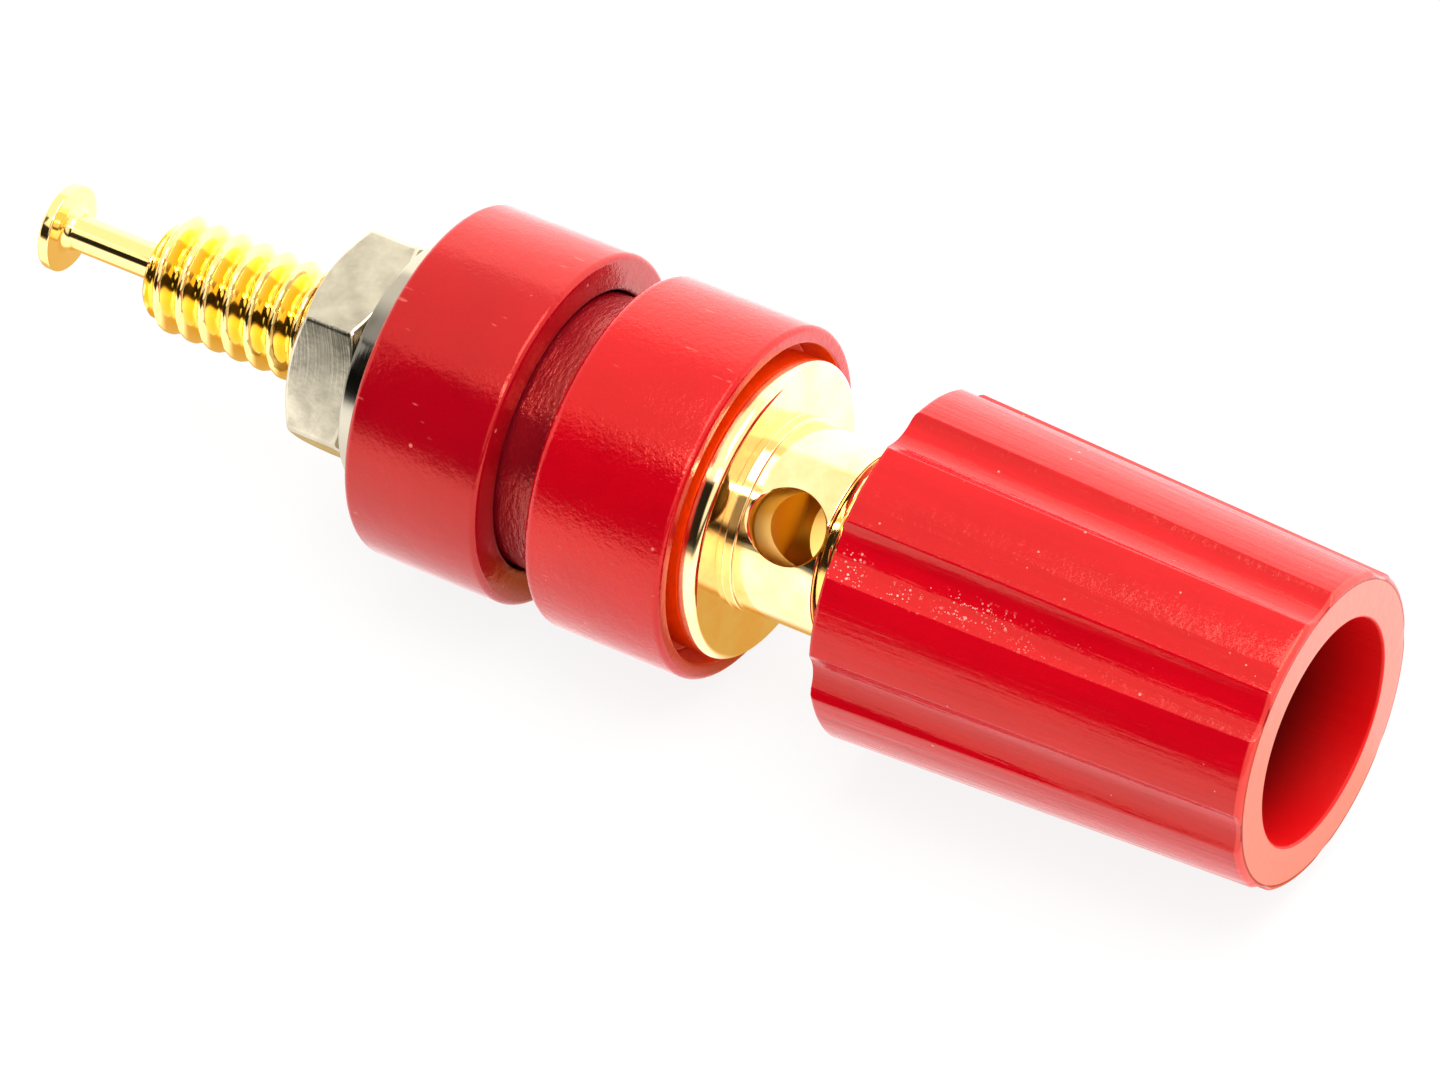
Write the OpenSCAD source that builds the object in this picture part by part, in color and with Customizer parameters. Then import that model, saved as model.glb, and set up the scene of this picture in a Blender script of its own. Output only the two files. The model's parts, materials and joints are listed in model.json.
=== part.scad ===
// Banana socket for 4 mm plugs: a panel binding post with a screw-down knob.
// The axis runs along X, the knob is at +X, and X = 0 is the face that seats on the front of the panel.

/* [Insulators] */
// Outside diameter of both insulators
insulator_d = 14.5; // [13.5:0.1:16]
// Length of the front insulator, from the panel to its front rim
front_len = 6.15; // [5:0.05:8]
// Length of the rear insulator
rear_len = 6; // [5:0.1:8]
// Gap between the two insulators, which is the thickness of the panel
panel_gap = 2.1; // [2.05:0.05:4]
// Diameter of the boss that goes through the panel
boss_d = 11.3; // [10.5:0.1:12]
// Length of the boss behind the panel's front face
boss_len = 5.5; // [4.5:0.1:7]
// Diameter of the recess round the collar
recess_d = 13.1; // [12.6:0.1:13.4]
// Depth of the recess
recess_depth = 1.5; // [1:0.1:2.5]
// Rounding of the insulators' rims
rim_round = 0.35; // [0.1:0.05:0.5]

/* [Contact post] */
// Outside diameter of the stud's thread
stud_d = 4.76; // [4.5:0.02:5]
// Distance from the panel face back to the end of the thread
stud_reach = 20.9; // [19:0.1:24]
// Diameter of the turret head
turret_d = 3.6; // [3:0.1:4.4]
// Thickness of the turret head
turret_t = 0.5; // [0.3:0.05:1]
// Diameter of the turret's neck
neck_d = 1.5; // [1.2:0.1:2]
// Length of the turret's neck
neck_len = 4.5; // [3:0.1:6]
// Diameter of the collar
collar_d = 12.2; // [11.4:0.1:12.4]
// How far the collar stands out of the front insulator
collar_proud = 0.9; // [0.4:0.1:1.5]
// Diameter of the round body
body_d = 7.8; // [7.6:0.1:8.2]
// Length of the body, from the collar to the thread
body_len = 3.9; // [3.8:0.1:5]
// Outside diameter of the spigot's thread
spigot_d = 7.6; // [7.2:0.1:7.6]
// Length of the threaded spigot
spigot_len = 13.05; // [12.5:0.05:13.5]
// Diameter of the plug bore
plug_d = 4; // [3.9:0.05:4.2]
// Depth of the plug bore from the spigot's end
plug_depth = 16.6; // [14:0.1:16.8]
// Diameter of the wire hole
wire_d = 3; // [2:0.1:3.2]
// Distance of the wire hole from the collar
wire_x = 2.25; // [1.8:0.05:2.3]
// Angle of the wire hole above the horizontal
wire_angle = 40; // [0:1:90]

/* [Nut and washer] */
// Width of the nut across its flats
nut_af = 8.6; // [8:0.1:9.5]
// Thickness of the nut
nut_t = 3; // [2.5:0.1:4]
// Angle of the nut's first corner above the horizontal
nut_angle = 49; // [0:1:60]
// Outside diameter of the washer
washer_d = 10.3; // [9.5:0.1:11]
// Thickness of the washer
washer_t = 1.6; // [0.8:0.1:2]

/* [Knob] */
// Outside diameter of the knob at its rear rim
knob_rear_d = 14.36; // [14:0.02:15]
// Outside diameter of the knob at its front rim
knob_front_d = 12.9; // [12.6:0.05:13.6]
// Length of the knob
knob_len = 18.4; // [17.6:0.1:19.5]
// Gap between the collar and the knob, with the knob opened as shown
knob_gap = 5.7; // [1:0.1:6.5]
// Diameter of the mouth
mouth_d = 9.2; // [8.6:0.1:9.6]
// Number of flutes
flute_count = 8; // [6:1:10]
// Width of a flute at the rear rim
flute_w = 2.45; // [1.5:0.05:2.5]
// Depth of a flute at the rear rim
flute_rear_depth = 0.48; // [0.2:0.02:0.5]
// Depth of a flute at the front rim
flute_front_depth = 0.28; // [0.1:0.02:0.3]
// Angle of the first flute above the horizontal
flute_angle = 42; // [0:1:45]
// Rounding of the knob's front rim
knob_front_round = 0.3; // [0.1:0.05:0.4]
// Rounding of the knob's rear rim
knob_rear_round = 0.2; // [0.1:0.05:0.3]

/* [Hidden] */
$fn = 96;
// Running clearance between a shaft and its hole, on the radius
slip = 0.05;
// Looser clearance of a sliding moulding, on the radius
slack = 0.1;
// Room that lets a cutting shape pass right through
over = 1;
// Straight lines in a quarter of a rounded edge
round_steps = 6;

gold = [0.93, 0.72, 0.27];
brass = [0.80, 0.63, 0.30];
nickel = [0.71, 0.69, 0.63];
red = [0.80, 0.08, 0.07];
knob_red = [0.85, 0.12, 0.09];

// Places along the axis
recess_floor_x = front_len - recess_depth;
collar_x = front_len + collar_proud;
body_end_x = collar_x + body_len;
spigot_end_x = body_end_x + spigot_len;
rear_front_x = -panel_gap;
rear_back_x = rear_front_x - rear_len;
boss_end_x = -boss_len;
washer_back_x = rear_back_x - washer_t;
nut_back_x = washer_back_x - nut_t;
neck_start_x = -stud_reach - neck_len;
knob_rear_x = collar_x + knob_gap;
knob_front_x = knob_rear_x + knob_len;

// Radii that are used more than once
insulator_r = insulator_d / 2;
stud_r = stud_d / 2;
spigot_r = spigot_d / 2;
plug_r = plug_d / 2;

// The bush in the knob, which is out of sight
insert_r = 5.2;
insert_len = 5.5;
insert_inset = 4.6;
insert_x = knob_rear_x + insert_inset;

// Chamfer of small metal edges
edge = 0.15;

// A quarter of a circle from one angle to another, as points [x, r] of a profile
function arc(x, r, radius, from, to) =
    [for (i = [0 : round_steps])
        let (a = from + (to - from) * i / round_steps)
            [x + radius * cos(a), r + radius * sin(a)]];

// A piece turned about the axis from a profile of [x, r] points
module turned(profile) {
    rotate([0, 90, 0])
        rotate_extrude()
            polygon([for (p = profile) [p[1], p[0]]]);
}

// A round hole along the axis
module hole(x_from, x_to, r_from, r_to) {
    translate([x_from, 0, 0])
        rotate([0, 90, 0])
            cylinder(h = x_to - x_from, r1 = r_from, r2 = r_to);
}

// Turns a shape about the axis, by an angle measured up from the side that faces -Y
module at_angle(angle) {
    rotate([90 - angle, 0, 0])
        children();
}

// The turned metal post from the turret to the spigot's end
module contact_post() {
    head_x = neck_start_x - turret_t;
    head_edge = 0.12;
    neck_fillet = 0.35;
    lead_in = 0.6;
    collar_back_edge = 0.2;
    collar_round = 0.3;
    bead_proud = 0.12;
    bead_r = body_d / 2 + bead_proud;
    bead_len = 0.4;
    end_edge = 0.4;
    body_r = body_d / 2;
    collar_r = collar_d / 2;
    turret_r = turret_d / 2;
    neck_r = neck_d / 2;
    profile = concat(
        [[head_x, 0], [head_x, turret_r - head_edge], [head_x + head_edge, turret_r],
         [neck_start_x - head_edge, turret_r], [neck_start_x, turret_r - head_edge]],
        arc(neck_start_x + neck_fillet, neck_r + neck_fillet, neck_fillet, 180, 270),
        arc(-stud_reach - neck_fillet, neck_r + neck_fillet, neck_fillet, 270, 360),
        [[-stud_reach, stud_r - lead_in], [-stud_reach + lead_in, stud_r],
         [recess_floor_x, stud_r], [recess_floor_x, collar_r - collar_back_edge],
         [recess_floor_x + collar_back_edge, collar_r]],
        arc(collar_x - collar_round, collar_r - collar_round, collar_round, 90, 0),
        [[collar_x, bead_r], [collar_x + bead_len, bead_r], [collar_x + bead_len + edge, body_r],
         [body_end_x, body_r], [body_end_x + body_r - spigot_r, spigot_r],
         [spigot_end_x - end_edge, spigot_r], [spigot_end_x, spigot_r - end_edge], [spigot_end_x, 0]]);
    bore_end_x = spigot_end_x - plug_depth;
    drill_half_angle = 59;
    drill_point = plug_r / tan(drill_half_angle);
    mouth_edge = 0.4;
    color(gold)
        difference() {
            turned(profile);
            hole(bore_end_x, spigot_end_x + over, plug_r, plug_r);
            hole(bore_end_x - drill_point, bore_end_x, 0, plug_r);
            hole(spigot_end_x - mouth_edge, spigot_end_x + over, plug_r, plug_r + mouth_edge + over);
            translate([collar_x + wire_x, 0, 0])
                at_angle(wire_angle)
                    cylinder(h = body_d + 2 * over, d = wire_d, center = true);
        }
}

// The ring in front of the panel, with its recess and its boss
module front_insulator() {
    front_round = 0.2;
    boss_edge = 0.3;
    bore_r = stud_r + slip;
    profile = concat(
        [[boss_end_x, bore_r], [boss_end_x, boss_d / 2 - boss_edge],
         [boss_end_x + boss_edge, boss_d / 2], [0, boss_d / 2]],
        arc(rim_round, insulator_r - rim_round, rim_round, 180, 90),
        arc(front_len - front_round, insulator_r - front_round, front_round, 90, 0),
        [[front_len, recess_d / 2], [recess_floor_x, recess_d / 2], [recess_floor_x, bore_r]]);
    color(red)
        turned(profile);
}

// The ring behind the panel, which takes the boss
module rear_insulator() {
    socket_r = boss_d / 2 + slack;
    socket_x = boss_end_x - slack;
    bore_r = stud_r + slip;
    profile = concat(
        [[rear_back_x, bore_r]],
        arc(rear_back_x + rim_round, insulator_r - rim_round, rim_round, 180, 90),
        arc(rear_front_x - rim_round, insulator_r - rim_round, rim_round, 90, 0),
        [[rear_front_x, socket_r], [socket_x, socket_r], [socket_x, bore_r]]);
    color(red)
        turned(profile);
}

// The plain washer under the nut
module washer() {
    bore_r = stud_r + slack;
    washer_r = washer_d / 2;
    color(nickel)
        turned([[washer_back_x, bore_r], [washer_back_x, washer_r - edge], [washer_back_x + edge, washer_r],
                [rear_back_x - edge, washer_r], [rear_back_x, washer_r - edge], [rear_back_x, bore_r]]);
}

// The hexagon nut, with its corners chamfered at both ends
module hex_nut() {
    corner_r = nut_af / sqrt(3);
    face_r = nut_af / 2 - edge;
    chamfer_angle = 32;
    corner_room = 0.2;
    cone_r = corner_r + corner_room;
    cone_len = (cone_r - face_r) * tan(chamfer_angle);
    bore_r = stud_r + slip;
    sink = 0.4;
    color(nickel)
        difference() {
            intersection() {
                at_angle(nut_angle)
                    translate([nut_back_x, 0, 0])
                        rotate([0, 90, 0])
                            cylinder(h = nut_t, r = corner_r, $fn = 6);
                turned([[nut_back_x, 0], [nut_back_x, face_r], [nut_back_x + cone_len, cone_r],
                        [washer_back_x - cone_len, cone_r], [washer_back_x, face_r], [washer_back_x, 0]]);
            }
            hole(nut_back_x - over, washer_back_x + over, bore_r, bore_r);
            hole(nut_back_x, nut_back_x + sink, bore_r + sink, bore_r);
            hole(washer_back_x - sink, washer_back_x, bore_r, bore_r + sink);
        }
}

// The bush that is moulded into the knob and carries its thread
module knob_insert() {
    bore_r = spigot_r + slip;
    insert_end_x = insert_x + insert_len;
    color(brass)
        turned([[insert_x, bore_r + edge], [insert_x, insert_r - edge], [insert_x + edge, insert_r],
                [insert_end_x - edge, insert_r], [insert_end_x, insert_r - edge],
                [insert_end_x, bore_r + edge], [insert_end_x - edge, bore_r], [insert_x + edge, bore_r]]);
}

// One flute, cut by a slim cone that lies along the knob and widens towards the front
module flute() {
    rear_r = (pow(flute_w / 2, 2) + pow(flute_rear_depth, 2)) / (2 * flute_rear_depth);
    front_w = flute_w * knob_front_d / knob_rear_d;
    front_r = (pow(front_w / 2, 2) + pow(flute_front_depth, 2)) / (2 * flute_front_depth);
    rear_axis = knob_rear_d / 2 - flute_rear_depth + rear_r;
    front_axis = knob_front_d / 2 - flute_front_depth + front_r;
    lean = atan((front_axis - rear_axis) / knob_len);
    widen = (front_r - rear_r) / knob_len;
    translate([knob_rear_x, 0, rear_axis])
        rotate([0, 90 - lean, 0])
            translate([0, 0, -over])
                cylinder(h = knob_len / cos(lean) + 2 * over,
                         r1 = rear_r - widen * over, r2 = front_r + widen * over);
}

// The fluted knob with its mouth, the pocket of the bush and the clearance round the body
module knob_shell() {
    rear_r = knob_rear_d / 2;
    front_r = knob_front_d / 2;
    body_room = 0.5;
    rear_bore_r = body_d / 2 + body_room;
    mouth_r = mouth_d / 2;
    pocket_r = insert_r + slip;
    pocket_from_x = insert_x - slip;
    pocket_to_x = insert_x + insert_len + slip;
    profile = concat(
        [[knob_rear_x, rear_bore_r]],
        arc(knob_rear_x + knob_rear_round, rear_r - knob_rear_round, knob_rear_round, 180, 90),
        arc(knob_front_x - knob_front_round, front_r - knob_front_round, knob_front_round, 90, 0),
        [[knob_front_x, mouth_r + edge], [knob_front_x - edge, mouth_r], [pocket_to_x, mouth_r],
         [pocket_to_x, pocket_r], [pocket_from_x, pocket_r], [pocket_from_x, rear_bore_r]]);
    color(knob_red)
        difference() {
            turned(profile);
            for (i = [0 : flute_count - 1])
                at_angle(flute_angle + i * 360 / flute_count)
                    flute();
        }
}

contact_post();
front_insulator();
rear_insulator();
washer();
hex_nut();
knob_insert();
knob_shell();
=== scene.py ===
"""Banana socket for 4 mm plugs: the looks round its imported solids, in metres, in the part's own frame.

The axis runs along X with the knob at +X, and X = 0 is the face that seats on the front of the panel.
Sizes are written in mm, and an angle round the axis is measured up from the side that faces -Y.
"""

from __future__ import annotations

import json
import logging
import math
from dataclasses import dataclass
from enum import Enum
from functools import reduce
from typing import Any, Mapping, Sequence

import bmesh
import bpy
import numpy as np
from bpy.types import Material, Node, NodeSocket, NodeTree, Object
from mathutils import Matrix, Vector

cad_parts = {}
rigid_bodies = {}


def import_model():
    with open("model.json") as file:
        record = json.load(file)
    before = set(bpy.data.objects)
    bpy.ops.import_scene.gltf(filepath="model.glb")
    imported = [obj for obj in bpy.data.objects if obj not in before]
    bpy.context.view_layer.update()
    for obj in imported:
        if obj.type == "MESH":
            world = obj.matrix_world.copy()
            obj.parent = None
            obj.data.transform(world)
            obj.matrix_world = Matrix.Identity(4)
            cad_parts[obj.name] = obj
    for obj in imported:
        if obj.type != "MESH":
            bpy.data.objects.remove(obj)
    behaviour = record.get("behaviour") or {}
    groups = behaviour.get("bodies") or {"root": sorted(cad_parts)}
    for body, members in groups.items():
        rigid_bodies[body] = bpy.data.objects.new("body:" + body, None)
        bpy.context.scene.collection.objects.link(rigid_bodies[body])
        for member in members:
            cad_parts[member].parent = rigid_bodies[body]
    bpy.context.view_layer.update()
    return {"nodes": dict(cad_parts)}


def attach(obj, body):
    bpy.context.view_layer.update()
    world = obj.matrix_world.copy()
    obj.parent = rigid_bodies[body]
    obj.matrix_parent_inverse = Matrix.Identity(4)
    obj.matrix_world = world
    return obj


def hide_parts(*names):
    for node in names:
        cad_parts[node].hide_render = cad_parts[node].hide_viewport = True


LOG = logging.getLogger("banana_socket")
MM = 0.001
ROUND_STEP = math.radians(11)
EDGE_SHARE = 0.49
WELD = 1e-8
SHARP = math.radians(32)
INCH_PITCH = 25.4 / 24

Colour = tuple[float, float, float, float]
Triple = tuple[float, float, float]
Span = tuple[float, float]

WHITE: Colour = (1.0, 1.0, 1.0, 1.0)
PLASTIC_IOR = 2.4
TONE_SPAN: Span = (0.3, 0.7)
SPECK_CORE = 0.55


class Body(Enum):
    """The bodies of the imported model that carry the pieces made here."""

    POST = "post"
    REAR_CLAMP = "rear_clamp"
    NUT = "nut"
    KNOB = "knob"


class Slot(Enum):
    """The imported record's material slots of the pieces made here."""

    GOLD = "gold_plating"
    INSULATOR = "red_insulator"
    KNOB = "red_knob"
    NICKEL = "nickel_plating"


@dataclass(frozen=True)
class Corner:
    """One corner of a turned profile, in mm: its place along the axis, its radius and its rounding."""

    x: float
    r: float
    soft: float = 0.0

    @property
    def point(self) -> np.ndarray:
        """The corner as a row [x, r]."""
        return np.array([self.x, self.r])


def metres(span: Span) -> Span:
    """Turns a span in mm into metres."""
    return span[0] * MM, span[1] * MM


def radians(span: Span) -> Span:
    """Turns a span in degrees into radians."""
    return math.radians(span[0]), math.radians(span[1])


def outward(degrees: float) -> np.ndarray:
    """The direction that points away from the axis at an angle round it."""
    angle = math.radians(degrees)
    return np.array([0, -math.cos(angle), math.sin(angle)])


def even_angles(count: int) -> np.ndarray:
    """Evenly spaced angles round the axis, in radians."""
    return np.arange(count) * math.tau / count


def filleted(corners: Sequence[Corner], closed: bool) -> np.ndarray:
    """Rounds the corners of a profile.

    Args:
        corners: The corners in order.
        closed: True for a ring, whose last corner joins its first.

    Returns:
        The profile's points, one row [x, r] each, in mm.
    """
    points: list[np.ndarray] = []
    count = len(corners)
    for i, corner in enumerate(corners):
        here = corner.point
        is_end = not closed and i in (0, count - 1)
        if is_end or corner.soft <= 0:
            points.append(here)
            continue
        before = corners[i - 1].point - here
        after = corners[(i + 1) % count].point - here
        room = EDGE_SHARE * min(np.linalg.norm(before), np.linalg.norm(after))
        u = before / np.linalg.norm(before)
        v = after / np.linalg.norm(after)
        half = math.acos(float(np.clip(u @ v, -1, 1))) / 2
        reach = min(corner.soft / math.tan(half), room)
        radius = reach * math.tan(half)
        centre = here + (u + v) / np.linalg.norm(u + v) * radius / math.sin(half)
        start = here + u * reach - centre
        stop = here + v * reach - centre
        first = math.atan2(start[1], start[0])
        turn = math.remainder(math.atan2(stop[1], stop[0]) - first, math.tau)
        steps = max(2, math.ceil(abs(turn) / ROUND_STEP))
        for angle in first + turn * np.linspace(0, 1, steps + 1):
            points.append(centre + radius * np.array([math.cos(angle), math.sin(angle)]))
    return np.array(points)


def refined(points: np.ndarray, step: float, x_from: float, x_to: float, closed: bool) -> np.ndarray:
    """Adds points to the long edges of a profile, where a thread or a flute will need them.

    Args:
        points: Rows [x, r], in mm.
        step: The longest edge to leave, in mm.
        x_from: Where the stretch to refine begins.
        x_to: Where it ends.
        closed: True for a ring.

    Returns:
        The refined rows.
    """
    out: list[np.ndarray] = []
    count = len(points)
    for i, here in enumerate(points):
        out.append(here)
        if i == count - 1 and not closed:
            break
        after = points[(i + 1) % count]
        inside = min(here[0], after[0]) >= x_from - step and max(here[0], after[0]) <= x_to + step
        pieces = math.ceil(np.linalg.norm(after - here) / step) if inside else 1
        for k in range(1, pieces):
            out.append(here + (after - here) * k / pieces)
    return np.array(out)


def skinned(name: str, columns: np.ndarray, closed: bool) -> Object:
    """Skins columns of points that stand round the axis.

    Args:
        name: The object's name.
        columns: One profile per angle, as an array of columns, points and coordinates in mm.
        closed: True where each column is a closed ring.

    Returns:
        An object with a closed mesh in metres whose faces point outwards.
    """
    turns, length, _ = columns.shape
    spans = length if closed else length - 1
    i, j = np.meshgrid(np.arange(turns), np.arange(spans), indexing="ij")
    ahead = (i + 1) % turns
    onward = (j + 1) % length
    quads = np.stack([i * length + j, ahead * length + j, ahead * length + onward, i * length + onward], -1)
    mesh = bpy.data.meshes.new(name)
    mesh.from_pydata((columns.reshape(-1, 3) * MM).tolist(), [], quads.reshape(-1, 4).tolist())
    work = bmesh.new()
    work.from_mesh(mesh)
    bmesh.ops.remove_doubles(work, verts=work.verts, dist=WELD)
    bmesh.ops.recalc_face_normals(work, faces=work.faces)
    work.to_mesh(mesh)
    work.free()
    return new_object(name, mesh)


def lathe(name: str, profile: np.ndarray, angles: np.ndarray, closed: bool) -> Object:
    """Turns a profile about the axis.

    Args:
        name: The object's name.
        profile: Rows [x, r], in mm.
        angles: The angles at which columns stand, in radians.
        closed: True for a ring, and False for a profile that begins and ends on the axis.

    Returns:
        The turned object.
    """
    x, r = profile[:, 0], profile[:, 1]
    columns = [np.stack([x, -r * math.cos(a), r * math.sin(a)], axis=1) for a in angles]
    return skinned(name, np.array(columns), closed)


def new_object(name: str, data: Any) -> Object:
    """Puts data into the scene, at the origin.

    Args:
        name: The object's name.
        data: A mesh, a lamp or a camera.

    Returns:
        The new object.
    """
    obj = bpy.data.objects.new(name, data)
    bpy.context.scene.collection.objects.link(obj)
    return obj


def bake_modifiers(obj: Object) -> None:
    """Turns modifiers into a plain mesh and removes them.

    Args:
        obj: The object that has them.
    """
    graph = bpy.context.evaluated_depsgraph_get()
    final = obj.evaluated_get(graph)
    mesh = bpy.data.meshes.new_from_object(final, preserve_all_data_layers=True, depsgraph=graph)
    obj.modifiers.clear()
    obj.data = mesh


def shade(obj: Object) -> None:
    """Shades a mesh smoothly up to the sharp angle between faces.

    Args:
        obj: The object that has it.
    """
    mesh = obj.data
    mesh.polygons.foreach_set("use_smooth", np.ones(len(mesh.polygons), dtype=bool))
    mesh.set_sharp_from_angle(angle=SHARP)


def dress(obj: Object, material: Material) -> None:
    """Gives an object one material."""
    obj.data.materials.clear()
    obj.data.materials.append(material)


def turned_ring(name: str, corners: Sequence[Corner], columns: int, material: Material) -> Object:
    """Turns a ring and finishes it.

    Args:
        name: The piece's name.
        corners: Its profile.
        columns: How many columns of points stand round the axis.
        material: Its finish.

    Returns:
        The ring, not yet handed over.
    """
    profile = filleted(corners, closed=True)
    obj = lathe(name, profile, even_angles(columns), closed=True)
    dress(obj, material)
    shade(obj)
    return obj


def hand_over(obj: Object, body: Body, slot: Slot, *nodes: str) -> None:
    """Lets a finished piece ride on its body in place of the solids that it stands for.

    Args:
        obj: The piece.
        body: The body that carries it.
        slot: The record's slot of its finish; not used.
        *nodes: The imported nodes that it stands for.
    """
    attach(obj, body.value)
    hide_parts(*nodes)
    obj.data.calc_loop_triangles()
    LOG.info("%s: %d triangles on %s", obj.name, len(obj.data.loop_triangles), body.value)


class Bench:
    """Lays out the nodes of one tree and joins them."""

    def __init__(self, tree: NodeTree) -> None:
        """Takes the tree to work on."""
        self.tree = tree

    def add(self, kind: str, inputs: Mapping[Any, Any] | None = None, **settings: Any) -> Node:
        """Adds a node.

        Args:
            kind: Blender's name of the node's type.
            inputs: Values or other nodes' outputs for its sockets.
            **settings: The node's own options.

        Returns:
            The new node.
        """
        node = self.tree.nodes.new(kind)
        for key, value in settings.items():
            setattr(node, key, value)
        for key, value in (inputs or {}).items():
            socket = node.inputs[key]
            if isinstance(value, NodeSocket):
                self.tree.links.new(value, socket)
            else:
                socket.default_value = value
        return node

    def place(self) -> NodeSocket:
        """Gives the object's own coordinates."""
        return self.add("ShaderNodeTexCoord").outputs["Object"]

    def math(self, operation: str, *values: Any) -> NodeSocket:
        """Adds a sum and gives its result."""
        return self.add("ShaderNodeMath", dict(enumerate(values)), operation=operation).outputs[0]

    def times(self, first: Any, *others: Any) -> NodeSocket:
        """Multiplies values."""
        return reduce(lambda product, value: self.math("MULTIPLY", product, value), others, first)

    def minus(self, value: Any, taken: Any) -> NodeSocket:
        """Takes one value from another."""
        return self.math("SUBTRACT", value, taken)

    def most(self, first: Any, second: Any) -> NodeSocket:
        """Gives the larger of two values."""
        return self.math("MAXIMUM", first, second)

    def apart(self, first: Any, second: Any) -> NodeSocket:
        """Gives how far two values are apart."""
        return self.math("ABSOLUTE", self.minus(first, second))

    def above(self, value: Any, limit: float) -> NodeSocket:
        """Gives 1 where a value is above a limit and 0 elsewhere."""
        return self.math("GREATER_THAN", value, limit)

    def below(self, value: Any, limit: float) -> NodeSocket:
        """Gives 1 where a value is below a limit and 0 elsewhere."""
        return self.math("LESS_THAN", value, limit)

    def ramp(self, value: Any, low: Any, high: Any, to_low: float = 0.0, to_high: float = 1.0) -> NodeSocket:
        """Eases a value from one level to another.

        Args:
            value: The value to read.
            low: Where the change begins.
            high: Where it ends.
            to_low: The level before it.
            to_high: The level after it.

        Returns:
            The eased level.
        """
        inputs = {"Value": value, "From Min": low, "From Max": high, "To Min": to_low, "To Max": to_high}
        return self.add("ShaderNodeMapRange", inputs, interpolation_type="SMOOTHSTEP").outputs[0]

    def edge(self, value: Any, at: float, soft: float, *levels: float) -> NodeSocket:
        """Eases a value's level at one place, by an edge that reaches equally far to its two sides."""
        return self.ramp(value, at - soft, at + soft, *levels)

    def window(self, value: Any, low: float, high: float, soft: float) -> NodeSocket:
        """Gives 1 between two values and 0 outside them, with soft edges."""
        return self.times(self.edge(value, low, soft), self.edge(value, high, soft, 1.0, 0.0))

    def blend(self, share: Any, first: Any, second: Any) -> NodeSocket:
        """Mixes two colours by a share of the second."""
        return self.add("ShaderNodeMix", {0: share, 6: first, 7: second}, data_type="RGBA").outputs[2]

    def level(self, share: Any, first: Any, second: Any) -> NodeSocket:
        """Mixes two numbers by a share of the second."""
        return self.add("ShaderNodeMix", {0: share, 2: first, 3: second}, data_type="FLOAT").outputs[0]

    def bump(self, height: Any, depth: float, normal: Any = None) -> NodeSocket:
        """Adds a relief.

        Args:
            height: Its height.
            depth: Its depth in mm.
            normal: The normal of the surface that it is laid on.

        Returns:
            The new normal.
        """
        inputs = {"Strength": 1.0, "Distance": depth * MM, "Height": height}
        if normal is not None:
            inputs["Normal"] = normal
        return self.add("ShaderNodeBump", inputs).outputs[0]


def polar(bench: Bench, place: Any) -> tuple[Any, Any, Any, Any]:
    """Splits a place into its parts along and round the axis.

    Args:
        bench: The tree to work on.
        place: A vector socket.

    Returns:
        The sockets of x, the radius, the angle above the side that faces -Y, and the split node's outputs.
    """
    split = bench.add("ShaderNodeSeparateXYZ", {0: place}).outputs
    square = bench.math("ADD", bench.times(split[1], split[1]), bench.times(split[2], split[2]))
    radius = bench.math("SQRT", square)
    angle = bench.math("ARCTAN2", split[2], bench.times(split[1], -1.0))
    return split[0], radius, angle, split


class CutTree:
    """A Geometry Nodes tree that pulls a turned surface in to a cut, by a rule for each place on it."""

    def __init__(self, name: str, sizes: Mapping[str, float]) -> None:
        """Makes the tree's sockets.

        Args:
            name: The tree's name.
            sizes: The named inputs, in metres or radians, with their values.
        """
        self.tree = bpy.data.node_groups.new(name, "GeometryNodeTree")
        self.bench = Bench(self.tree)
        face = self.tree.interface
        face.new_socket("Geometry", in_out="INPUT", socket_type="NodeSocketGeometry")
        face.new_socket("Geometry", in_out="OUTPUT", socket_type="NodeSocketGeometry")
        self.sockets = {n: face.new_socket(n, in_out="INPUT", socket_type="NodeSocketFloat") for n in sizes}
        self.finish = face.new_socket("Finish", in_out="INPUT", socket_type="NodeSocketMaterial")
        self.sizes = dict(sizes)
        self.given = self.bench.add("NodeGroupInput").outputs
        place = self.bench.add("GeometryNodeInputPosition").outputs[0]
        self.x, self.r, self.angle, self.split = polar(self.bench, place)

    def close(self, new_radius: Any) -> None:
        """Ends the tree.

        Args:
            new_radius: The radius that each place is moved to.
        """
        bench = self.bench
        share = bench.math("DIVIDE", new_radius, bench.most(self.r, WELD))
        y = bench.times(self.split[1], share)
        z = bench.times(self.split[2], share)
        moved = bench.add("ShaderNodeCombineXYZ", {0: self.x, 1: y, 2: z}).outputs[0]
        shaped = bench.add("GeometryNodeSetPosition", {"Geometry": self.given["Geometry"], "Position": moved})
        real = bench.add("GeometryNodeRealizeInstances", {0: shaped.outputs[0]})
        inputs = {"Geometry": real.outputs[0], "Material": self.given["Finish"]}
        dressed = bench.add("GeometryNodeSetMaterial", inputs)
        bench.add("NodeGroupOutput", {0: dressed.outputs[0]})

    def cut(self, obj: Object, material: Material) -> None:
        """Runs the tree on an object and keeps the result as a plain mesh.

        Args:
            obj: The turned object.
            material: Its finish.
        """
        modifier = obj.modifiers.new(self.tree.name, "NODES")
        modifier.node_group = self.tree
        for name, value in self.sizes.items():
            modifier[self.sockets[name].identifier] = value
        modifier[self.finish.identifier] = material
        bake_modifiers(obj)


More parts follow.
